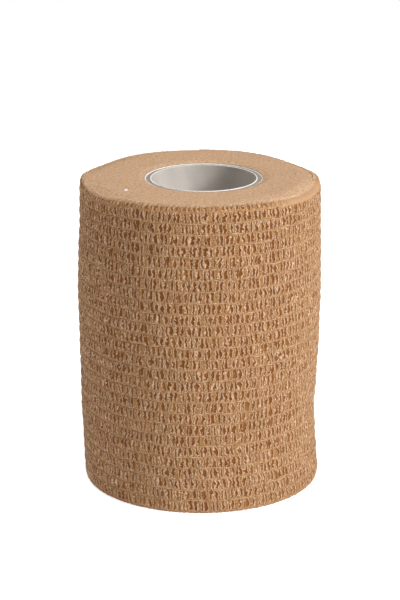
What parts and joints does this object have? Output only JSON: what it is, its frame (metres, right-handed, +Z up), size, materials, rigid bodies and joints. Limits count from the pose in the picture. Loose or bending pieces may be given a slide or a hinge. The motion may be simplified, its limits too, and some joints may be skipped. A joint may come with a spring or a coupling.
{
  "type": "cohesive bandage roll",
  "caption": "Self-adhering elastic crepe bandage wound on a hollow paperboard core, standing on its end; it is unwound to wrap and support a limb.",
  "frame": {"origin": "centre of the roll's foot, on the surface that it stands on", "axes": "+Z up along the roll, -Y towards the viewer, +X to the right; the cut end of the strip is behind, towards +Y"},
  "size_m": [0.0596, 0.06, 0.076],
  "materials": {
    "crepe_cloth": "matte crepe cloth, tan, gathered between elastic threads",
    "core_board": "smooth pale grey liner on paperboard"
  },
  "bodies": {
    "root": {"bandage": "crepe_cloth", "core": "core_board"}
  },
  "joints": []
}
